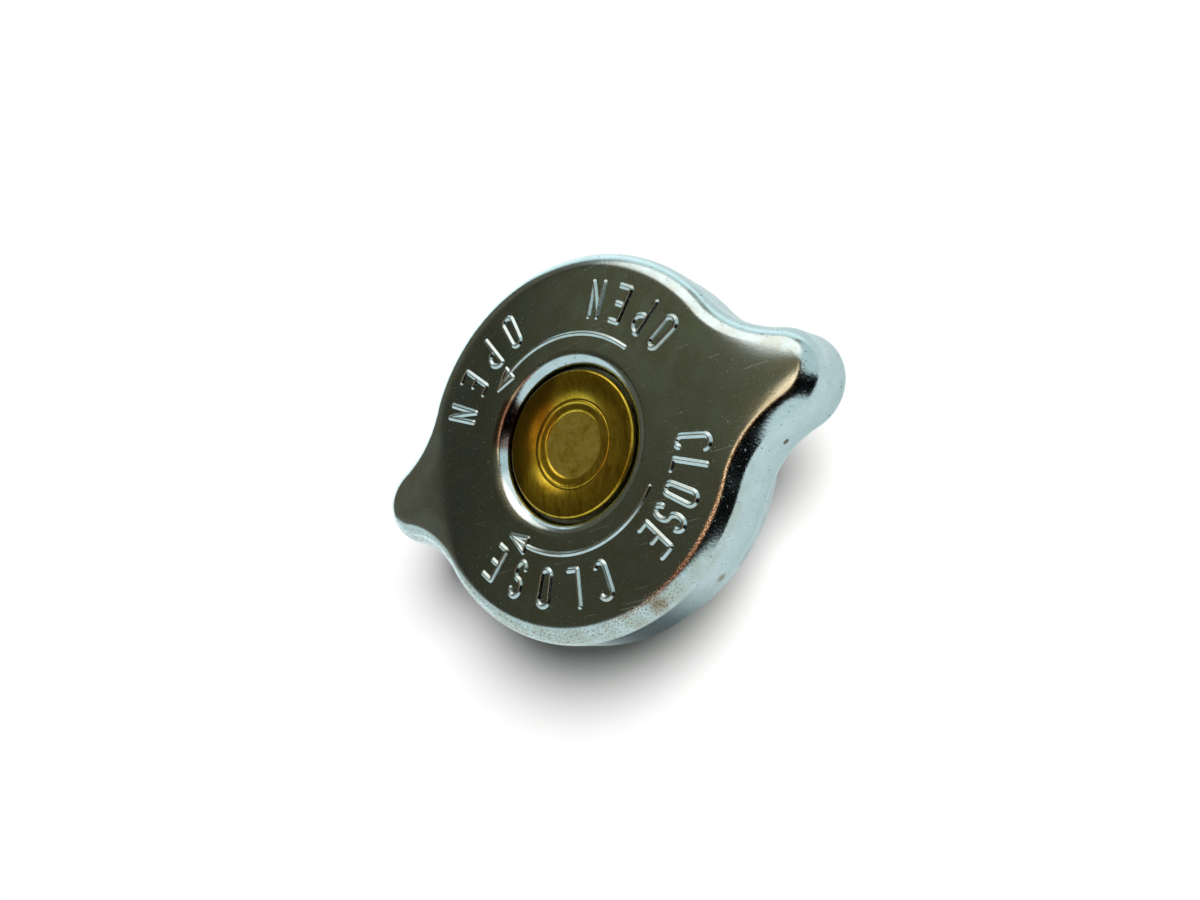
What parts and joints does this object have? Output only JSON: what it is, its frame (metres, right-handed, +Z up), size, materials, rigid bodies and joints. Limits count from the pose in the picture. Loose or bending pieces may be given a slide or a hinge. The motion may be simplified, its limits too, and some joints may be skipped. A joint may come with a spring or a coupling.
{
  "type": "radiator cap",
  "caption": "Bayonet pressure cap for a radiator filler neck, with a two-eared pressed cover, a swivelling valve cage, a sprung pressure valve and a small vacuum valve.",
  "frame": {"origin": "on the cap's axis, in the plane of the upper gasket's lower face, which rests on the filler neck's rim", "axes": "+Z up along the cap's axis through the cover, +X along the two ears"},
  "size_m": [0.082, 0.06, 0.0332],
  "materials": {
    "zinc_steel": "zinc plated, bluish, lightly worn",
    "plain_steel": "satin",
    "brass": "aged",
    "rubber": "matt",
    "spring_steel": "drawn wire"
  },
  "bodies": {
    "cap": {"cover_shell": "zinc_steel", "bayonet_plate": "zinc_steel"},
    "valve_carrier": {"swivel_rivet": "brass", "thrust_washer": "plain_steel", "diaphragm": "brass", "neck_gasket": "rubber", "valve_cage": "brass", "spring_seat": "plain_steel", "pressure_spring": "spring_steel"},
    "pressure_valve": {"lift_cup": "plain_steel", "lower_plate": "plain_steel", "pressure_gasket": "rubber", "vacuum_spring": "spring_steel"},
    "vacuum_valve": {"vacuum_disc": "brass", "vacuum_stem": "brass", "vacuum_clip": "brass"}
  },
  "joints": [
    {"name": "valve_swivel", "type": "hinge", "parent": "cap", "child": "valve_carrier", "pos_m": [0, 0, 0], "axis": [0, 0, 1], "continuous": true},
    {"name": "pressure_lift", "type": "slide", "parent": "valve_carrier", "child": "pressure_valve", "axis": [0, 0, 1], "range_m": [0, 0.003], "stiffness_N_per_m": 8000, "springref_m": -0.008, "deforming": ["pressure_spring"]},
    {"name": "vacuum_drop", "type": "slide", "parent": "pressure_valve", "child": "vacuum_valve", "axis": [0, 0, -1], "range_m": [0, 0.002], "stiffness_N_per_m": 300, "springref_m": -0.0033, "deforming": ["vacuum_spring"]}
  ]
}
